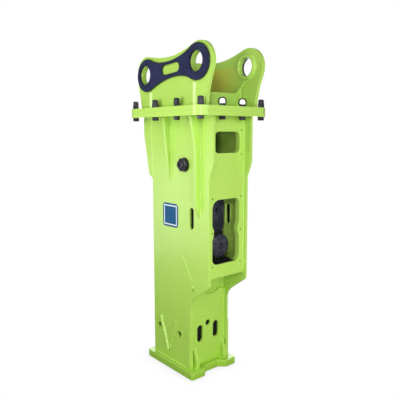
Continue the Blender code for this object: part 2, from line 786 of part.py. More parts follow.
def main():
    clear_scene()
    lime = make_finish("lime_paint", (0.42, 0.71, 0.13), 0.32, 0.0)
    black = make_finish("black_paint", (0.02, 0.02, 0.035), 0.4, 0.0)
    dark = make_finish("black_steel", (0.045, 0.05, 0.07), 0.45, 0.8)
    steel = make_finish("ground_steel", (0.55, 0.55, 0.56), 0.25, 1.0)
    bronze = make_finish("bushing_bronze", (0.45, 0.32, 0.16), 0.35, 1.0)
    rubber = make_finish("damper_rubber", (0.05, 0.05, 0.05), 0.8, 0.0)

    housing = add_frame("housing_frame")
    cell = add_frame("power_cell_frame", (TOOL_X, 0, 0), housing)
    sides = (("near", -1), ("far", 1))

    for word, side in sides:
        add_piece(f"side_plate_{word}", side_plate(side), lime, housing)
        add_piece(f"bracket_ear_{word}", bracket_ear(side), lime, housing)
        add_piece(f"doubler_plate_{word}", doubler_plate(side), black, housing)
        add_piece(f"front_pin_boss_{word}", pin_boss(side, FRONT_PIN), lime, housing)
        add_piece(f"rear_pin_boss_{word}", pin_boss(side, REAR_PIN), lime, housing)
        add_piece(f"side_plug_{word}", side_plug(side), dark, housing)
    add_piece("front_panel", front_panel(), lime, housing)
    add_piece("shelf_plate", shelf_plate(), lime, housing)
    add_piece("lower_front_plate", lower_front_plate(), lime, housing)
    add_piece("rear_panel", rear_panel(), lime, housing)
    add_piece("rear_lower_plate", rear_lower_plate(), lime, housing)
    add_piece("base_flange", base_flange(), lime, housing)
    add_piece("housing_top_flange", housing_top_flange(), lime, housing)
    add_piece("bracket_base_plate", flange_plate(BRACKET_Z), lime, housing)
    add_piece("bracket_front_web", bracket_web(0.1680, 1.582), lime, housing)
    add_piece("bracket_rear_web", bracket_web(-0.1300, 1.565), lime, housing)
    add_piece("upper_damper", upper_damper(), rubber, housing)
    add_piece("lower_damper", lower_damper(), rubber, housing)

    bolt_mesh = flange_bolt()
    for number, (x, y) in enumerate(bolt_places(), 1):
        bolt = add_piece(f"flange_bolt_{number:02d}", bolt_mesh, dark, housing)
        bolt.location = (x, y, BRACKET_Z)

    add_piece("front_head", front_head(), black, cell)
    add_piece("cylinder", cylinder(), black, cell)
    add_piece("back_head", back_head(), black, cell)
    for number, place in enumerate(stay_places(), 1):
        add_piece(f"through_bolt_{number}", through_bolt(place), dark, cell)
    add_piece("lower_tool_bushing", bushing(HEAD_Z, 0.2 - GAP), bronze, cell)
    add_piece("upper_tool_bushing", bushing(0.33 + GAP, 0.400), bronze, cell)
    add_piece("seal_carrier", seal_carrier(), bronze, cell)
    add_piece("valve_body", valve_body(), black, cell)
    add_piece("valve_cap", valve_cap(), dark, cell)
    add_piece("pressure_hose_adapter", hose_adapter(-0.058), dark, cell)
    add_piece("return_hose_adapter", hose_adapter(0.058), dark, cell)
    add_piece("accumulator_body", accumulator_body(), black, cell)
    add_piece("accumulator_diaphragm", accumulator_diaphragm(), rubber, cell)
    add_piece("accumulator_cover", accumulator_cover(), black, cell)
    add_piece("gas_charging_valve", gas_valve(), steel, cell)
    add_piece("grease_nipple", grease_nipple(), steel, cell)

    add_piece("piston", piston(), steel, cell, (TOOL_X, 0, 0))
    add_piece("valve_spool", valve_spool(), steel, cell, (SPOOL_X, 0, 0))
    add_piece("throttle_adjuster", throttle_adjuster(), dark, cell, (VALVE_FRONT_X, 0.035, 0.940))
    for word, side in (("rear", -1), ("front", 1)):
        origin = (TOOL_X + side * RETAINER_X, 0, RETAINER_Z)
        add_piece(f"retaining_pin_{word}", retaining_pin(side), steel, cell, origin)


main()
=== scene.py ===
"""The looks of a hydraulic breaker hammer: fine meshes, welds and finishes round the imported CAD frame."""

import json
import math
import random

import bmesh
import bpy
from mathutils import Matrix, Vector

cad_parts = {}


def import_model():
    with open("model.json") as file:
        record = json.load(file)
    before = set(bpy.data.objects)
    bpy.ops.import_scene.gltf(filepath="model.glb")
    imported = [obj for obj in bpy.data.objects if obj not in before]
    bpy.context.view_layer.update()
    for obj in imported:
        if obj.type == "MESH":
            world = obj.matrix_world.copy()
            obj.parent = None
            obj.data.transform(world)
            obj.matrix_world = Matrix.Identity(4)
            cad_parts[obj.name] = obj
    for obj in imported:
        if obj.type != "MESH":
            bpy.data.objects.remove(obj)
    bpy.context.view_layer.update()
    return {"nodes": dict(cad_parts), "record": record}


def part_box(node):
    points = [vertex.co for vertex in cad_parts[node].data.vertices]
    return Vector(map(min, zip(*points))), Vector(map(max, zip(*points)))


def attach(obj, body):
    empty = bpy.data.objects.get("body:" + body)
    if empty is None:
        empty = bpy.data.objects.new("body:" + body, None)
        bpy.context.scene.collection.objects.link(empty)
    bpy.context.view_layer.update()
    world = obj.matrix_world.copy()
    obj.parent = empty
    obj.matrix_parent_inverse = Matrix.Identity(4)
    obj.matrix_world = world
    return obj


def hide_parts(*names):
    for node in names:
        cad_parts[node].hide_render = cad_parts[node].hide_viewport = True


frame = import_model()
NODES = frame["nodes"]
SIDES = (("near", -1), ("far", 1))  # each side's name and the sign of its y

PLATE_THICK = 0.016
EAR_THICK = 0.020
RIB_REACH = 0.063  # how far the ribs of a side plate stand out from it
SIDE_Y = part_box("side_plate_near")[0].y + RIB_REACH  # outer face of the near side plate
INNER_Y = SIDE_Y + PLATE_THICK
EAR_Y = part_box("front_pin_boss_near")[0].y  # outer face of the near ear
EAR_INNER_Y = EAR_Y + EAR_THICK
REAR_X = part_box("rear_panel")[0].x
PANEL_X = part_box("front_panel")[1].x
LOWER_FRONT_X = 0.1025  # front edge of a side plate near its foot
STRIP_X = 0.0805  # rear edge of the wear strip on a side plate's front corner
LOWER_PLATE_X = 0.0865  # front face of the lower front plate
FOOT_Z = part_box("base_flange")[1].z
FLANGE_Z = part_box("housing_top_flange")[0].z
EAR_BASE_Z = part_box("bracket_ear_near")[0].z
PIN_BORES = {"front": (0.2145, 1.721), "rear": (-0.2305, 1.690)}  # x and z of their axes
BOSS_RADIUS = 0.066


# Finishes


class Finish:
    """A material and short calls for the nodes that its colour, gloss and relief come from."""

    def __init__(self, name):
        self.material = bpy.data.materials.new(name)
        self.material.use_nodes = True
        self.tree = self.material.node_tree
        self.shader = self.tree.nodes["Principled BSDF"]
        self.place = self.node("ShaderNodeTexCoord").outputs["Object"]

    def node(self, kind, inputs=None, **settings):
        """A new node with its settings and inputs."""
        made = self.tree.nodes.new(kind)
        for key, value in settings.items():
            setattr(made, key, value)
        self.feed(made, inputs or {})
        return made

    def feed(self, target, inputs):
        """Links or sets each of the target's inputs."""
        for key, value in inputs.items():
            if isinstance(value, bpy.types.NodeSocket):
                self.tree.links.new(value, target.inputs[key])
            else:
                target.inputs[key].default_value = value

    def noise(self, scale, detail=4.0, roughness=0.55, stretch=(1, 1, 1)):
        """Cloudy values whose grain is squeezed along each axis by stretch."""
        place = self.node("ShaderNodeMapping", {"Vector": self.place, "Scale": stretch}).outputs[0]
        inputs = {"Vector": place, "Scale": scale, "Detail": detail, "Roughness": roughness}
        return self.node("ShaderNodeTexNoise", inputs).outputs["Fac"]

    def ramp(self, value, low, high, start=0.0, end=1.0):
        """value mapped from low..high onto start..end and held there outside it."""
        inputs = {"Value": value, "From Min": low, "From Max": high, "To Min": start, "To Max": end}
        return self.node("ShaderNodeMapRange", inputs, clamp=True).outputs[0]

    def blend(self, share, first, second):
        """The first colour, covered by the second as far as share says."""
        inputs = {0: share, 6: first, 7: second}
        return self.node("ShaderNodeMix", inputs, data_type="RGBA").outputs[2]

    def maths(self, operation, first, second=0.0):
        return self.node("ShaderNodeMath", {0: first, 1: second}, operation=operation).outputs[0]

    def edges(self, radius):
        """High where the surface turns a corner within the radius."""
        flat = self.node("ShaderNodeNewGeometry").outputs["Normal"]
        eased = self.node("ShaderNodeBevel", {"Radius": radius}, samples=4).outputs[0]
        inputs = {0: flat, 1: eased}
        turn = self.node("ShaderNodeVectorMath", inputs, operation="DOT_PRODUCT").outputs["Value"]
        return self.ramp(turn, 0.995, 0.90)

    def corners(self, reach):
        """High far into a corner or a recess: the mask of the painted corner shade."""
        inputs = {"Distance": reach}
        open_sky = self.node("ShaderNodeAmbientOcclusion", inputs, samples=4).outputs["AO"]
        return self.ramp(open_sky, 0.85, 0.35)

    def relief(self, height, strength, depth):
        """Raises the surface by height, a value from 0 to 1, without moving it."""
        inputs = {"Height": height, "Strength": strength, "Distance": depth}
        self.feed(self.shader, {"Normal": self.node("ShaderNodeBump", inputs).outputs[0]})


LIME = {
    "ground": (0.375, 0.640, 0.064, 1),
    "clouds": (0.400, 0.670, 0.078, 1),
    # painted sheen, paler and bluer, for the upper faces
    "painted_sheen": (0.425, 0.670, 0.108, 1),
    "runs": (0.370, 0.625, 0.070, 1),
    # painted shade in corners and recesses
    "corner_shade": (0.310, 0.560, 0.008, 1),
    # painted shade at the foot
    "foot_shade": (0.270, 0.500, 0.030, 1),
    # brown painted shade on the ears' inner faces
    "inner_shade": (0.620, 0.540, 0.045, 1),
    # edge wear and painted highlight
    "edge_wear_and_highlight": (0.640, 0.840, 0.300, 1),
}


def ear_inner_shade_mask(finish, place, side, ear_face):
    """Mask of the brown painted shade: high on the ears' inner faces, below the middle of the bores and more
    so towards the rear.
    """
    inside = finish.ramp(side, ear_face - 0.016, ear_face - 0.020)
    low = finish.ramp(place["Z"], 1.738, 1.718)
    rearward = finish.ramp(place["X"], 0.180, -0.040, 0.0, 0.85)
    return finish.maths("MULTIPLY", finish.maths("MULTIPLY", inside, low), rearward)


def lime_paint(name, depth, shine, ear_face=None):
    """Cloudy gloss paint with a painted sheen paler upwards, painted shade in corners by depth, edge wear and
    painted highlights on the edges by shine, and painted shade at the foot.

    On the ears, what stands further out than ear_face takes a painted highlight, and the inner faces take a
    brown painted shade.
    """
    finish = Finish(name)
    place = finish.node("ShaderNodeSeparateXYZ", {0: finish.place}).outputs
    clouds = finish.ramp(finish.noise(4.0, 3.0), 0.35, 0.65)
    runs = finish.ramp(finish.noise(9.0, 3.0, 0.6, (1, 1, 0.12)), 0.45, 0.75, 0.0, 0.35)
    # Painted sheen: paler and bluer upwards, where the lamps wash the paint.
    painted_sheen = finish.ramp(place["Z"], 0.15, 0.80)
    # Painted shade: darker at the foot, next to the floor.
    foot_shade = finish.ramp(place["Z"], 0.02, 0.06, 0.8, 0.0)
    # Painted shade: a darker, richer green in corners and recesses.
    corner_shade = finish.maths("MULTIPLY", finish.corners(0.035), depth)
    # Edge wear and painted highlight: paler along the edges.
    edge_wear_and_highlight = finish.maths("MULTIPLY", finish.edges(0.003), shine)
    colour = finish.blend(clouds, LIME["ground"], LIME["clouds"])
    for share, tone in ((painted_sheen, "painted_sheen"), (runs, "runs"), (corner_shade, "corner_shade"), (foot_shade, "foot_shade")):
        colour = finish.blend(share, colour, LIME[tone])
    if ear_face:
        side = finish.maths("ABSOLUTE", place["Y"])
        # Painted highlight on what stands proud of the ear's face.
        proud_highlight = finish.ramp(side, ear_face, ear_face + 0.004, 0.0, 0.9)
        edge_wear_and_highlight = finish.maths("MAXIMUM", edge_wear_and_highlight, proud_highlight)
        # Brown painted shade on the ears' inner faces.
        colour = finish.blend(ear_inner_shade_mask(finish, place, side, ear_face), colour, LIME["inner_shade"])
    colour = finish.blend(edge_wear_and_highlight, colour, LIME["edge_wear_and_highlight"])
    gloss = finish.ramp(finish.noise(3.0, 3.0, 0.6, (1, 1, 0.4)), 0.3, 0.7, 0.34, 0.44)
    peel = finish.maths("MULTIPLY", finish.noise(420.0, 2.0), 0.25)
    finish.relief(finish.maths("ADD", peel, finish.noise(22.0, 2.0)), 0.14, 0.004)
    finish.feed(finish.shader, {"Base Color": colour, "Roughness": gloss})
    finish.feed(finish.shader, {"Coat Weight": 0.25, "Coat Roughness": 0.18})
    return finish.material


def black_enamel(name, dark, pale):
    """Paint in patches between two tones, with a painted dark edge reflection round its rims."""
    finish = Finish(name)
    patches = finish.ramp(finish.noise(11.0, 4.0), 0.35, 0.7)
    colour = finish.blend(patches, dark, pale)
    # Painted dark edge reflection round the rims.
    colour = finish.blend(finish.edges(0.010), colour, (0.004, 0.005, 0.010, 1))
    gloss = finish.ramp(finish.noise(30.0, 4.0), 0.3, 0.7, 0.24, 0.36)
    finish.relief(finish.noise(140.0, 3.0), 0.10, 0.001)
    finish.feed(finish.shader, {"Base Color": colour, "Roughness": gloss, "Specular IOR Level": 0.35})
    return finish.material


def oxide_steel():
    """Blackened steel with chipped, paler corners."""
    finish = Finish("black_steel")
    patches = finish.ramp(finish.noise(40.0, 4.0), 0.35, 0.7)
    colour = finish.blend(patches, (0.016, 0.015, 0.022, 1), (0.036, 0.034, 0.050, 1))
    chips = finish.ramp(finish.noise(160.0, 3.0), 0.45, 0.62, 0.0, 0.5)
    wear = finish.maths("MULTIPLY", finish.edges(0.0015), chips)
    colour = finish.blend(wear, colour, (0.300, 0.300, 0.340, 1))
    gloss = finish.ramp(finish.noise(60.0, 4.0), 0.3, 0.7, 0.28, 0.46)
    finish.relief(finish.noise(350.0, 3.0), 0.18, 0.001)
    finish.feed(finish.shader, {"Base Color": colour, "Roughness": gloss})
    finish.feed(finish.shader, {"Metallic": 0.15, "Specular IOR Level": 0.35})
    return finish.material


def metal_finish(name, tone, roughness, grain, stretch):
    """Bare metal whose fine marks are darker and glossier than its tone."""
    finish = Finish(name)
    dark = tuple(c * 0.72 for c in tone[:3]) + (1,)
    marks = finish.noise(grain, 4.0, 0.6, stretch)
    colour = finish.blend(finish.ramp(marks, 0.3, 0.7), dark, tone)
    gloss = finish.ramp(marks, 0.3, 0.7, roughness, roughness + 0.14)
    finish.relief(marks, 0.12, 0.0006)
    finish.feed(finish.shader, {"Base Color": colour, "Roughness": gloss, "Metallic": 1.0})
    return finish.material


def cap_plastic():
    """A painted highlight: white with a painted glow, whose sides turned from the view fall to black as
    painted shade.
    """
    finish = Finish("cap_plastic")
    turned = finish.node("ShaderNodeLayerWeight", {"Blend": 0.5}).outputs["Facing"]
    stains = finish.ramp(finish.noise(90.0, 4.0), 0.3, 0.7)
    bright = finish.blend(stains, (0.86, 0.87, 0.87, 1), (0.95, 0.95, 0.94, 1))
    # Painted shade: the sides turned away from the view fall to black.
    colour = finish.blend(finish.ramp(turned, 0.20, 0.30), bright, (0.012, 0.012, 0.018, 1))
    finish.relief(stains, 0.08, 0.0004)
    finish.feed(finish.shader, {"Base Color": colour, "Roughness": 0.45})
    # Painted glow, so the white stays bright as a highlight.
    finish.feed(finish.shader, {"Emission Color": colour, "Emission Strength": 0.45})
    return finish.material


def rubber_finish():
    """Dull black rubber with a little dust."""
    finish = Finish("damper_rubber")
    dust = finish.ramp(finish.noise(22.0, 5.0), 0.45, 0.7)
    colour = finish.blend(dust, (0.006, 0.006, 0.006, 1), (0.016, 0.015, 0.014, 1))
    finish.relief(finish.noise(260.0, 4.0), 0.25, 0.001)
    finish.feed(finish.shader, {"Base Color": colour, "Roughness": 0.85, "Specular IOR Level": 0.2})
    return finish.material


FINISHES = {
    "housing_paint": lime_paint("lime_paint", 0.55, 0.50),
    "black_paint": black_enamel("black_paint", (0.016, 0.019, 0.058, 1), (0.026, 0.031, 0.086, 1)),
    "black_steel": oxide_steel(),
    "ground_steel": metal_finish("ground_steel", (0.58, 0.58, 0.60, 1), 0.22, 60.0, (1, 1, 12)),
    "bronze": metal_finish("bushing_bronze", (0.48, 0.33, 0.16, 1), 0.30, 60.0, (1, 1, 12)),
    "rubber": rubber_finish(),
}
# The ears' lime, with a painted highlight on what stands proud and a brown painted shade inside.
EAR_PAINT = lime_paint("lime_paint_on_ears", 0.55, 0.60, ear_face=0.001 - EAR_Y)
# The welds' lime: less painted corner shade, more edge wear and painted highlight.
WELD_PAINT = lime_paint("lime_paint_on_welds", 0.15, 0.75)
CELL_PAINT = black_enamel("black_paint_on_cell", (0.018, 0.018, 0.030, 1), (0.050, 0.048, 0.072, 1))
GLARE_CAP_PAINT = cap_plastic()


def dress(obj, slot):
    """Gives the object the finish of its slot."""
    obj.data.materials.clear()
    obj.data.materials.append(FINISHES[slot])


# CAD nodes that are shown as they are, with eased edges


# Width of the rounded edges, by material slot or by node
EDGE_WIDTHS = {"housing_paint": 0.0018, "black_paint": 0.0016, "black_steel": 0.0010, "base_flange": 0.005}
OTHER_EDGE_WIDTH = 0.0006
WINDING_PLATES = ("side_plate", "bracket_ear", "doubler_plate")  # outlines too winding for one flat face each
CELL_NODES = frame["record"]["behaviour"]["bodies"]["power_cell"]


def ease(obj, width):
    """Rounds the solid's real edges and leaves its flat and curved faces clean."""
    weld = obj.modifiers.new("weld", "WELD")
    weld.merge_threshold = 0.00002
    if not obj.name.startswith(WINDING_PLATES):
        flat = obj.modifiers.new("flat", "DECIMATE")
        flat.decimate_type = "DISSOLVE"
        flat.angle_limit = math.radians(0.4)
    bevel = obj.modifiers.new("bevel", "BEVEL")
    bevel.width = width
    bevel.segments = 2
    bevel.limit_method = "ANGLE"
    bevel.angle_limit = math.radians(40)
    bevel.use_clamp_overlap = True
    normals = obj.modifiers.new("normals", "WEIGHTED_NORMAL")
    normals.keep_sharp = False
    normals.weight = 100


def dress_frame():
    """Gives every CAD node its finish, with paints of their own on the ears and the power cell."""
    for part in frame["record"]["subparts"]:
        name = part["node"]
        slot = part["material_slot"]
        obj = NODES[name]
        dress(obj, slot)
        if name.startswith("bracket_ear"):
            obj.data.materials[0] = EAR_PAINT
        if slot == "black_paint" and name in CELL_NODES:
            obj.data.materials[0] = CELL_PAINT
        obj.data.shade_smooth()
        ease(obj, EDGE_WIDTHS.get(name, EDGE_WIDTHS.get(slot, OTHER_EDGE_WIDTH)))


# Meshes


def finished(shape, name):
    """The mesh of a shape, smooth but for its sharp edges."""
    bmesh.ops.recalc_face_normals(shape, faces=shape.faces)
    mesh = bpy.data.meshes.new(name)
    shape.to_mesh(mesh)
    shape.free()
    mesh.shade_smooth()
    mesh.set_sharp_from_angle(angle=math.radians(40))
    return mesh


def piece(name, mesh, slot, body="housing", replaces=()):
    """A visible object that rides on a CAD body and may stand for CAD nodes."""
    obj = bpy.data.objects.new(name, mesh)
    bpy.context.scene.collection.objects.link(obj)
    dress(obj, slot)
    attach(obj, body)
    if replaces:
        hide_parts(*replaces)
    return obj


def ring_of(shape, centre, axes, radii):
    """A ring of vertices about centre in the plane of two axes; radii holds one radius for each corner."""
    verts = []
    for index, radius in enumerate(radii):
        angle = math.tau * index / len(radii)
        offset = axes[0] * (radius * math.cos(angle)) + axes[1] * (radius * math.sin(angle))
        verts.append(shape.verts.new(centre + offset))
    return verts


def skin(shape, rings):
    """Joins rings of vertices into a closed body."""
    count = len(rings[0])
    for low, high in zip(rings, rings[1:]):
        for index in range(count):
            after = (index + 1) % count
            shape.faces.new((low[index], low[after], high[after], high[index]))
    shape.faces.new(list(reversed(rings[0])))
    shape.faces.new(rings[-1])


AXES = {
    "X": ((0, 1, 0), (0, 0, 1), (1, 0, 0)),
    "Y": ((0, 0, 1), (1, 0, 0), (0, 1, 0)),
    "Z": ((1, 0, 0), (0, 1, 0), (0, 0, 1)),
}


def lofted(shape, centre, along, sections):
    """Adds a closed body to shape: sections are (height, radii) pairs along the axis."""
    first, second, normal = (Vector(axis) for axis in AXES[along])
    rings = []
    for height, radii in sections:
        rings.append(ring_of(shape, Vector(centre) + normal * height, (first, second), radii))
    skin(shape, rings)


ROUND = 48  # corners of a round section


def round_radii(radius, count=ROUND):
    """The radii of a round section."""
    return [radius] * count


def disc(shape, centre, along, radius, low, high, count=ROUND):
    """A round plate with eased rims."""
    rim = 0.0005
    inner = round_radii(radius - rim, count)
    outer = round_radii(radius, count)
    lofted(shape, centre, along, [(low, inner), (low + rim, outer), (high - rim, outer), (high, inner)])


def hex_radii(flats, limit):
    """A hexagon's radii, cut back to a circle of radius limit as a chamfer does."""
    radii = []
    for index in range(ROUND):
        angle = (math.tau * index / ROUND + math.pi / 6) % (math.pi / 3) - math.pi / 6
        radii.append(min(flats / 2 / math.cos(angle), limit))
    return radii


HEX_FACE = 0.475  # radius of a nut's round end face, as a share of its width across flats
HEX_SLOPE = 0.55  # depth of the chamfer for its reach


def hex_body(shape, centre, along, flats, low, high):
    """A nut or bolt head whose corners are chamfered at both ends."""
    corner = flats / math.sqrt(3)
    round_face = flats * HEX_FACE
    drop = (corner - round_face) * HEX_SLOPE
    chamfer = []
    for share in (0.0, 0.35, 0.7, 1.0):
        limit = round_face + (corner - round_face) * share
        chamfer.append((low + drop * share, hex_radii(flats, limit)))
    mirrored = [(low + high - height, radii) for height, radii in reversed(chamfer)]
    lofted(shape, centre, along, chamfer + mirrored)


def dome(radius, rise, high, power, steps):
    """Sections of a rounded end whose top is at high; power below 1 makes it fuller than a ball."""
    sections = []
    for step in range(steps):
        turn = math.pi / 2 * step / steps
        size = radius * math.cos(turn) ** power
        sections.append((high - rise + rise * math.sin(turn), round_radii(size)))
    return sections


def domed(shape, centre, along, radius, low, high):
    """A short neck with a rounded tip."""
    tip = dome(radius, radius * 0.6, high, 0.5, 7)
    lofted(shape, centre, along, [(low, round_radii(radius))] + tip)


# Bolts and plugs


NUT_FLATS = 0.030
NUT_HEIGHT = 0.021
WASHER = (0.0185, 0.003)  # radius and thickness
NUT_DOME = 0.0155
FLANGE_BOLTS = 12
BOLT_TURN = 0.7  # how much further each bolt is turned than the one before
# the two bolts whose caps carry a painted highlight
CAPPED_BOLTS = (6, 8)
CAPPED_NUT = 0.009  # height of the nut that shows below a plastic cap
CAP_RADIUS = 0.0215
CAP_DOME = 0.020  # height of the cap's rounded end
PLUG_WASHER = (0.0385, 0.004)  # radius and thickness
PLUG_FLATS = 0.068
PLUG_HEX_TOP = 0.024
PLUG_CROWN = (  # height over the plate and radius, up the outside and down into the socket
    (0.020, 0.0260),
    (0.031, 0.0255),
    (0.0345, 0.0240),
    (0.036, 0.0215),
    (0.036, 0.0125),
    (0.0345, 0.0110),
    (0.028, 0.0105),
    (0.028, 0.0010),
)


def bolt_mesh(low, high, joint, capped):
    """Head, two washers and a cap nut about the joint's two faces, on the axis x = y = 0."""
    shape = bmesh.new()
    middle = (0, 0, 0)
    radius, thick = WASHER
    nut_low = joint[1] + thick
    nut_top = nut_low + (CAPPED_NUT if capped else NUT_HEIGHT)
    disc(shape, middle, "Z", radius, joint[0] - thick, joint[0])
    disc(shape, middle, "Z", radius, joint[1], joint[1] + thick)
    hex_body(shape, middle, "Z", NUT_FLATS, low, joint[0] - thick)
    hex_body(shape, middle, "Z", NUT_FLATS, nut_low, nut_top)
    if not capped:
        domed(shape, middle, "Z", NUT_DOME, nut_top - 0.001, high)
    return finished(shape, "flange_bolt")


def bolt_cap(name, place, low, high):
    """A cap over the end of a bolt, white with a painted highlight."""
    shape = bmesh.new()
    foot = [(low, round_radii(CAP_RADIUS - 0.001)), (low + 0.001, round_radii(CAP_RADIUS))]
    lofted(shape, place, "Z", foot + dome(CAP_RADIUS, CAP_DOME, high, 0.8, 12))
    obj = piece(name, finished(shape, name), "black_steel")
    obj.data.materials[0] = GLARE_CAP_PAINT


def flange_bolts():
    """The bolts round the flange, each turned its own way, two of them with caps that carry a painted
    highlight.
    """
    joint = (FLANGE_Z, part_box("bracket_base_plate")[1].z)
    for number in range(1, FLANGE_BOLTS + 1):
        node = f"flange_bolt_{number:02d}"
        low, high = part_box(node)
        capped = number in CAPPED_BOLTS
        mesh = bolt_mesh(low.z, high.z, joint, capped)
        place = Vector(((low.x + high.x) / 2, (low.y + high.y) / 2, 0))
        mesh.transform(Matrix.Translation(place) @ Matrix.Rotation(number * BOLT_TURN, 4, "Z"))
        piece(f"{node}_threaded", mesh, "black_steel", replaces=[node])
        if capped:
            bolt_cap(f"{node}_cap", place, joint[1] + WASHER[1] + CAPPED_NUT, high.z)


def side_plugs():
    """The black plug of each side plate: washer, hexagon and hollow crown."""
    radius, thick = PLUG_WASHER
    for word, side in SIDES:
        low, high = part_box(f"side_plug_{word}")
        centre = ((low.x + high.x) / 2, 0, (low.z + high.z) / 2)
        face = -side * SIDE_Y
        shape = bmesh.new()
        disc(shape, centre, "Y", radius, *sorted((face, face + side * thick)))
        hexagon = sorted((face + side * thick, face + side * PLUG_HEX_TOP))
        hex_body(shape, centre, "Y", PLUG_FLATS, *hexagon)
        lofted(shape, centre, "Y", [(face + side * rise, round_radii(size)) for rise, size in PLUG_CROWN])
        mesh = finished(shape, "side_plug")
        piece(f"side_plug_{word}_detailed", mesh, "black_steel", replaces=[f"side_plug_{word}"])


# Welds


def walk(points, step):
    """Evenly spaced places along the line through points."""
    places = []
    for start, end in zip(points, points[1:]):
        start = Vector(start)
        end = Vector(end)
        count = max(1, round((end - start).length / step))
        places += [start.lerp(end, index / count) for index in range(count)]
    places.append(Vector(points[-1]))
    return places


def bead(shape, points, radius, seed):
    """A weld bead along the points, whose ripples are slightly uneven."""
    draw = random.Random(seed)
    places = walk(points, radius * 0.45)
    side = (places[1] - places[0]).orthogonal()
    rings = []
    size = 1.0
    for index, place in enumerate(places):
        along = (places[min(index + 1, len(places) - 1)] - places[max(index - 1, 0)]).normalized()
        side = (side - along * side.dot(along)).normalized()
        if index % 2 == 0:
            size = draw.uniform(0.95, 1.06)
        swell = (0.86, 1.0)[index % 2] * size
        if index in (0, len(places) - 1):
            swell = 0.5
        rings.append(ring_of(shape, place, (side, along.cross(side)), [radius * swell] * 8))
    skin(shape, rings)


def weld(name, runs, radius=0.005):
    """One piece of painted beads, one along each run of points."""
    shape = bmesh.new()
    for number, points in enumerate(runs):
        bead(shape, points, radius, f"{name}{number}")
    obj = piece(name, finished(shape, name), "housing_paint")
    obj.data.materials[0] = WELD_PAINT


def loop(centre, radius, y, steps=56):
    """A circle in a plane of constant y, a little more than closed."""
    points = []
    for step in range(steps + 2):
        angle = math.tau * step / steps
        points.append((centre[0] + radius * math.cos(angle), y, centre[1] + radius * math.sin(angle)))
    return points


LOWER_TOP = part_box("lower_front_plate")[1].z
PANEL_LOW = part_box("front_panel")[0].z
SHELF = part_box("shelf_plate")
STEP_X = SHELF[0].x + 0.012
STEP_Z = SHELF[1].z - 0.012
SEAM_X = REAR_X - 0.0005
OUTER_WELDS = (  # name, radius and a line of x and z, on a side plate's outer face
    ("foot_weld", 0.006, ((REAR_X, FOOT_Z), (LOWER_FRONT_X, FOOT_Z))),
    ("strip_weld", 0.0035, ((STRIP_X, FOOT_Z), (STRIP_X, 0.268))),
    ("flange_weld", 0.005, ((-0.322, FLANGE_Z), (0.283, FLANGE_Z))),
    ("wedge_rear_weld", 0.011, ((-0.1755, 0.289), (-0.1045, 0.092))),
    ("wedge_front_weld", 0.006, ((-0.0275, 0.290), (-0.0875, 0.098))),
    ("brace_weld", 0.003, ((0.0405, 0.684), (0.1185, 0.559))),
    ("lug_stub", 0.007, ((0.118, 0.530), (0.130, 0.530))),
    ("gusset_weld", 0.004, ((-0.2465, 1.112), (-0.2465, FLANGE_Z))),
)
INNER_WELDS = (  # the same on the plate's inner face
    ("panel_weld", 0.0045, ((PANEL_X, PANEL_LOW), (PANEL_X, FLANGE_Z))),
    ("lower_plate_weld", 0.005, ((LOWER_PLATE_X, FOOT_Z), (LOWER_PLATE_X, LOWER_TOP - 0.004))),
    ("step_weld", 0.006, ((STEP_X, LOWER_TOP), (STEP_X, STEP_Z), (PANEL_X - 0.004, STEP_Z))),
    ("rear_seam_weld", 0.004, ((SEAM_X, FOOT_Z), (SEAM_X, 1.106))),
)
RIBS = (("rear", -0.0795, 1.115), ("front", 0.1715, 0.925))  # name, rear face's x, lower end
RIB_THICK = 0.016
# Which of four places across and up each point of a rim with cut corners takes
RIM_ORDER = ((1, 0), (2, 0), (3, 1), (3, 2), (2, 3), (1, 3), (0, 2), (0, 1), (1, 0))


def side_welds(word, side):
    """The beads on both faces of one side plate."""
    for y, table in ((-side * SIDE_Y, OUTER_WELDS), (-side * INNER_Y, INNER_WELDS)):
        for name, radius, line in table:
            weld(f"{name}_{word}", [[(x, y, z) for x, z in line]], radius)
    y = -side * SIDE_Y
    for name, x, low in RIBS:
        faces = (x, x + RIB_THICK)
        weld(f"{name}_rib_weld_{word}", [[(face, y, low), (face, y, FLANGE_Z)] for face in faces], 0.004)


def bracket_welds(word, side):
    """The beads round one ear of the bracket."""
    outer = -side * EAR_Y
    inner = -side * EAR_INNER_Y
    foot = EAR_BASE_Z
    weld(f"ear_foot_weld_{word}", [[(-0.281, y, foot), (0.277, y, foot)] for y in (outer, inner)], 0.006)
    for name, pin in PIN_BORES.items():
        weld(f"{name}_boss_weld_{word}", [loop(pin, BOSS_RADIUS + 0.001, inner)], 0.006)
        low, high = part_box(f"bracket_{name}_web")
        runs = [[(x, inner, foot), (x, inner, high.z - 0.004)] for x in (low.x, high.x)]
        weld(f"{name}_web_ear_weld_{word}", runs, 0.006)
    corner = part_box("bracket_front_web")[1]
    weld(f"ear_brace_weld_{word}", [[(corner.x, inner, corner.z), (0.203, inner, 1.646)]], 0.005)


def cut_corner_rim(low, high, cut):
    """A closed line round a box's front face that cuts across the corners."""
    y = (low.y, low.y + cut, high.y - cut, high.y)
    z = (low.z, low.z + cut, high.z - cut, high.z)
    return [(high.x, y[across], z[up]) for across, up in RIM_ORDER]


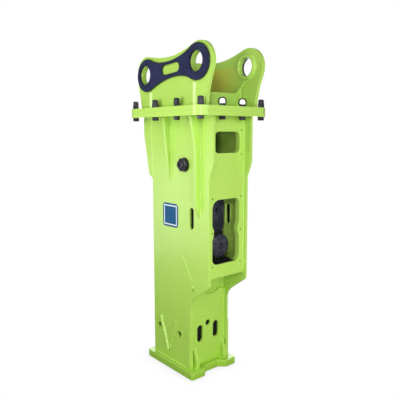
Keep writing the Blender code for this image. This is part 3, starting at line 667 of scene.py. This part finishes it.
def cross_welds():
    """The beads that run from side to side, and those of the front gussets."""
    for name in PIN_BORES:
        low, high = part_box(f"bracket_{name}_web")
        ends = (low.y + 0.004, high.y - 0.004)
        runs = [[(x, ends[0], EAR_BASE_Z), (x, ends[1], EAR_BASE_Z)] for x in (low.x, high.x)]
        weld(f"{name}_web_foot_weld", runs, 0.006)
    weld("lower_plate_cross_weld", [[(LOWER_PLATE_X, -0.112, 0.337), (LOWER_PLATE_X, 0.112, 0.337)]], 0.0035)
    weld("rear_plate_weld", [cut_corner_rim(*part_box("rear_lower_plate"), 0.01)])
    runs = []
    for y in (-0.116, -0.094, 0.094, 0.116):
        runs.append([(LOWER_PLATE_X, y, 0.156), (LOWER_PLATE_X, y, FOOT_Z), (0.121, y, FOOT_Z)])
    weld("front_gusset_welds", runs, 0.004)


def welds():
    """Every bead on the housing and its bracket."""
    for word, side in SIDES:
        side_welds(word, side)
        bracket_welds(word, side)
    cross_welds()


# Label, and dark rubber sheets in the slots as painted shade


LABEL = (-0.0735, 0.907)  # middle: x, z
LABEL_SIZE = (0.140, 0.135)
LABEL_CORNER = 0.020
SLOT = (0.115, 0.910)
SLOT_SIZE = (0.036, 0.120)
SHADE_SHEET_DEPTH = 0.012  # from the plate's outer face on the near side, its inner face on the far side
SHADE_SHEET_CORNER = 0.0172


def label_finish():
    """Blue print with a thin pale line inset from the plate's border."""
    finish = Finish("label_print")
    split = finish.node("ShaderNodeSeparateXYZ", {0: finish.place})
    reach = []
    for axis, middle, size in (("X", LABEL[0], LABEL_SIZE[0]), ("Z", LABEL[1], LABEL_SIZE[1])):
        off = finish.maths("ABSOLUTE", finish.maths("SUBTRACT", split.outputs[axis], middle))
        reach.append(finish.maths("DIVIDE", off, size / 2))
    rim = finish.maths("MAXIMUM", *reach)
    line = finish.maths("MULTIPLY", finish.ramp(rim, 0.74, 0.76), finish.ramp(rim, 0.86, 0.84))
    fading = finish.ramp(finish.noise(30.0, 3.0), 0.3, 0.7)
    blue = finish.blend(fading, (0.006, 0.075, 0.190, 1), (0.010, 0.100, 0.230, 1))
    colour = finish.blend(line, blue, (0.70, 0.78, 0.80, 1))
    finish.relief(finish.noise(180.0, 2.0), 0.05, 0.0005)
    finish.feed(finish.shader, {"Base Color": colour, "Roughness": 0.6, "Specular IOR Level": 0.25})
    return finish.material


def rounded_plate(x, z, size, radius, low, high, chamfer):
    """A thin rounded rectangle in a plane of constant y, whose rim is eased at high."""
    shape = bmesh.new()
    rings = []
    for y, inset in ((low, 0.0), (high - math.copysign(chamfer, high - low), 0.0), (high, chamfer)):
        ring = []
        for quarter, (sx, sz) in enumerate(((1, 1), (-1, 1), (-1, -1), (1, -1))):
            centre = (x + sx * (size[0] / 2 - radius), z + sz * (size[1] / 2 - radius))
            for step in range(7):
                angle = math.radians(90 * quarter + 15 * step)
                reach = radius - inset
                place = (centre[0] + reach * math.cos(angle), y, centre[1] + reach * math.sin(angle))
                ring.append(shape.verts.new(place))
        rings.append(ring)
    skin(shape, rings)
    return finished(shape, "rounded_plate")


def blank_label():
    """The printed plate on the near side, whose print is left blank."""
    back = SIDE_Y + 0.0004
    mesh = rounded_plate(*LABEL, LABEL_SIZE, LABEL_CORNER, back, SIDE_Y - 0.0012, 0.0004)
    obj = piece("blank_label", mesh, "black_paint")
    obj.data.materials[0] = label_finish()


def obround_loop(centre, size, y, steps=14):
    """A closed slot-shaped line with round ends, in a plane of constant y."""
    radius = size[0] / 2
    reach = size[1] / 2 - radius
    points = []
    for end in (1, -1):
        for step in range(steps + 1):
            angle = math.pi * step / steps
            rise = end * (reach + radius * math.sin(angle))
            points.append((centre[0] + end * radius * math.cos(angle), y, centre[1] + rise))
    return points + points[:2]


def slot_shade_sheets():
    """A dark rubber sheet in each side plate's slot, put there as painted shade, and a raised rim round it on
    the plate's inside.
    """
    width, height = SLOT_SIZE
    rim = (width + 0.006, height + 0.006)
    near = (SIDE_Y + SHADE_SHEET_DEPTH, INNER_Y - 0.0005)
    far = (-INNER_Y + SHADE_SHEET_DEPTH, -SIDE_Y - 0.0005)
    for (word, side), faces in zip(SIDES, (near, far)):
        mesh = rounded_plate(*SLOT, (width - 0.001, height - 0.001), SHADE_SHEET_CORNER, *faces, 0.001)
        piece(f"slot_filler_{word}", mesh, "rubber")
        weld(f"slot_rim_{word}", [obround_loop(SLOT, rim, -side * INNER_Y)], 0.004)


# Details on and under the power cell


COVER_RECESS = 0.0085  # depth of the cover's face behind its rim
SADDLE_SCREWS = ((-0.058, 0.812), (0.066, 0.812))  # y and z
COVER_SCREWS = 8
COVER_SCREW_CIRCLE = 0.046  # radius
PLUG_NECK = 0.0075  # radius
SILL_ENDS = (-0.072, 0.060)
LINER = (  # y and z
    (-0.105, 0.130),
    (0.105, 0.130),
    (0.105, 0.275),
    (0.085, 0.295),
    (-0.085, 0.295),
    (-0.105, 0.275),
)


def slab(name, outline, ends, along, slot, body="housing"):
    """A flat piece whose outline lies across the axis, with eased edges."""
    first, second, normal = (Vector(axis) for axis in AXES[along])
    shape = bmesh.new()
    rings = []
    for level in ends:
        rings.append([shape.verts.new(first * u + second * v + normal * level) for u, v in outline])
    skin(shape, rings)
    ease(piece(name, finished(shape, name), slot, body), 0.0018)


def accumulator_saddle(axis, radius):
    """The block between the pot below and the valve above: an arch with square shoulders, which also fills
    the gap there with black as painted shade.
    """
    valve_low, valve_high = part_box("valve_body")
    outline = []
    for step in range(25):
        angle = math.radians(20 + 140 * step / 24)
        outline.append((axis[0] + radius * math.cos(angle), axis[1] + radius * math.sin(angle)))
    top = valve_low.z - 0.0005
    outline += [(outline[-1][0], top), (outline[0][0], top)]
    ends = (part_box("accumulator_body")[0].x + 0.02, valve_high.x + 0.006)
    slab("accumulator_saddle", outline, ends, "X", "black_steel", "power_cell")


def cell_screws(axis, front):
    """Two screws in the saddle's shoulders and a ring of them in the cover."""
    shape = bmesh.new()
    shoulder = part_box("valve_body")[1].x + 0.0055
    for y, z in SADDLE_SCREWS:
        disc(shape, (0, y, z), "X", 0.0065, shoulder, shoulder + 0.0065)
    face = front - COVER_RECESS
    for index in range(COVER_SCREWS):
        angle = math.tau * (index + 0.5) / COVER_SCREWS
        y = axis[0] + COVER_SCREW_CIRCLE * math.cos(angle)
        z = axis[1] + COVER_SCREW_CIRCLE * math.sin(angle)
        disc(shape, (0, y, z), "X", 0.0050, face - 0.001, face + 0.0055, count=24)
    piece("cell_screws", finished(shape, "cell_screws"), "black_steel", "power_cell")


def charging_plug(axis, front):
    """The hexagon and neck in the middle of the cover."""
    shape = bmesh.new()
    hex_body(shape, (0, *axis), "X", 0.022, front - COVER_RECESS, front + 0.001)
    domed(shape, (0, *axis), "X", PLUG_NECK, front, front + 0.009)
    piece("charging_plug", finished(shape, "charging_plug"), "black_steel", "power_cell")


def window_sill_pad():
    """A rubber lip over the lower edge of the window in front of the power cell, which also darkens the
    window's foot as painted shade.
    """
    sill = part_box("front_panel")[0].x
    outline = [(0.640, sill - 0.050), (0.640, sill - 0.001), (0.6684, sill - 0.001)]
    outline += [(0.6684, PANEL_X - 0.003), (0.6724, PANEL_X - 0.003), (0.6724, sill - 0.006)]
    outline += [(0.679, sill - 0.014), (0.679, sill - 0.050)]
    slab("window_sill_pad", outline, SILL_ENDS, "Y", "rubber")


def guide_liner():
    """A rubber guide sheet behind the slots of the lower front plate, which also keeps the slots dark as
    painted shade.
    """
    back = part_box("lower_front_plate")[0].x
    slab("guide_liner", LINER, (back - 0.014, back - 0.008), "X", "rubber")


def power_cell_details():
    """What the power cell carries, and the rubber round it in the housing; the saddle and the rubber also
    stand in as painted shade.
    """
    low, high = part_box("accumulator_cover")
    axis = ((low.y + high.y) / 2, (low.z + high.z) / 2)
    accumulator_saddle(axis, (high.y - low.y) / 2 + 0.001)
    cell_screws(axis, high.x)
    window_sill_pad()
    guide_liner()
    charging_plug(axis, high.x)


# Stage


CAMERA_PLACE = (2.0831, -1.7609, 1.3598)
CAMERA_TURN = (90 - 7.777, 0.06, 49.548)  # degrees: tilt from straight down, roll and heading
SENSOR_WIDTH = 36.0
FOCAL_LENGTH = 43.18
FLOOR_REACH = 30.0
LIGHTS = (  # name, place, target, size and power
    ("key", (-0.10, -1.30, 1.35), (-0.08, 0.0, 1.28), (0.5, 0.5), 8.0),
    ("wash", (-2.2, -2.0, 0.55), (0.0, -0.1, 0.9), (1.6, 1.1), 13),
    ("high", (0.6, -2.6, 2.6), (0.0, 0.0, 1.3), (1.5, 1.5), 20),
    ("strip", (1.85, -1.75, 1.85), (0.2, -0.1, 1.3), (0.28, 1.1), 19),
    ("fill", (3.2, 0.6, 0.75), (0.1, 0.0, 0.8), (2.0, 2.4), 22),
    ("low_fill", (2.0, -0.8, 0.5), (0.12, 0.05, 0.42), (0.8, 0.5), 19),
    ("back", (-2.4, 2.4, 1.7), (0.0, 0.0, 0.9), (2.2, 2.2), 75),
    ("web", (2.0, -0.3, 1.95), (0.2, 0.05, 1.58), (0.5, 0.5), 9),
)


def area_light(name, place, target, size, power):
    """A rectangular lamp that points at the target."""
    lamp = bpy.data.lights.new(name, "AREA")
    lamp.shape = "RECTANGLE"
    lamp.size, lamp.size_y = size
    lamp.energy = power
    obj = bpy.data.objects.new(name, lamp)
    obj.location = place
    obj.rotation_euler = (Vector(target) - Vector(place)).to_track_quat("-Z", "Y").to_euler()
    bpy.context.scene.collection.objects.link(obj)


def camera():
    """The view of the photo."""
    lens = bpy.data.cameras.new("camera")
    lens.sensor_width = SENSOR_WIDTH
    lens.lens = FOCAL_LENGTH
    view = bpy.data.objects.new("camera", lens)
    view.location = CAMERA_PLACE
    view.rotation_euler = [math.radians(angle) for angle in CAMERA_TURN]
    bpy.context.scene.collection.objects.link(view)
    bpy.context.scene.camera = view


def world():
    """White behind the hammer, and far less of it as the light that comes from all round."""
    sky = bpy.data.worlds.new("studio")
    sky.use_nodes = True
    nodes = sky.node_tree.nodes
    links = sky.node_tree.links
    mix = nodes.new("ShaderNodeMixShader")
    links.new(nodes.new("ShaderNodeLightPath").outputs["Is Camera Ray"], mix.inputs[0])
    seen = nodes.new("ShaderNodeBackground")
    for socket, shade, strength in ((1, nodes["Background"], 0.18), (2, seen, 1.0)):
        shade.inputs["Color"].default_value = (1.0, 1.0, 1.0, 1)
        shade.inputs["Strength"].default_value = strength
        links.new(shade.outputs[0], mix.inputs[socket])
    links.new(mix.outputs[0], nodes["World Output"].inputs[0])
    bpy.context.scene.world = sky


def floor():
    """A pale floor that runs into the white behind it, with a painted contact shadow where the hammer stands
    on it.
    """
    finish = Finish("floor")
    mottle = finish.ramp(finish.noise(1.5, 3.0), 0.3, 0.7)
    colour = finish.blend(mottle, (0.30, 0.30, 0.30, 1), (0.33, 0.33, 0.33, 1))
    finish.feed(finish.shader, {"Base Color": colour, "Roughness": 0.8, "Specular IOR Level": 0.0})
    # Painted contact shadow: the white darkens where the hammer stands.
    painted_contact_shadow = finish.node("ShaderNodeAmbientOcclusion", {"Distance": 0.10}, samples=8).outputs["AO"]
    white = finish.node("ShaderNodeEmission", {"Strength": finish.ramp(painted_contact_shadow, 0.3, 0.95, 0.82, 1.0)})
    which = finish.node("ShaderNodeLightPath").outputs["Is Camera Ray"]
    inputs = {0: which, 1: finish.shader.outputs[0], 2: white.outputs[0]}
    mix = finish.node("ShaderNodeMixShader", inputs)
    finish.feed(finish.tree.nodes["Material Output"], {"Surface": mix.outputs[0]})
    mesh = bpy.data.meshes.new("floor")
    corners = [(x * FLOOR_REACH, y * FLOOR_REACH, 0) for x, y in ((-1, -1), (1, -1), (1, 1), (-1, 1))]
    mesh.from_pydata(corners, [], [(0, 1, 2, 3)])
    mesh.materials.append(finish.material)
    obj = bpy.data.objects.new("floor", mesh)
    bpy.context.scene.collection.objects.link(obj)


def studio():
    """The white studio, its lamps and the camera."""
    bpy.context.scene.view_settings.view_transform = "Standard"
    world()
    floor()
    for lamp in LIGHTS:
        area_light(*lamp)
    camera()


dress_frame()
flange_bolts()
side_plugs()
welds()
blank_label()
slot_shade_sheets()
power_cell_details()
studio()
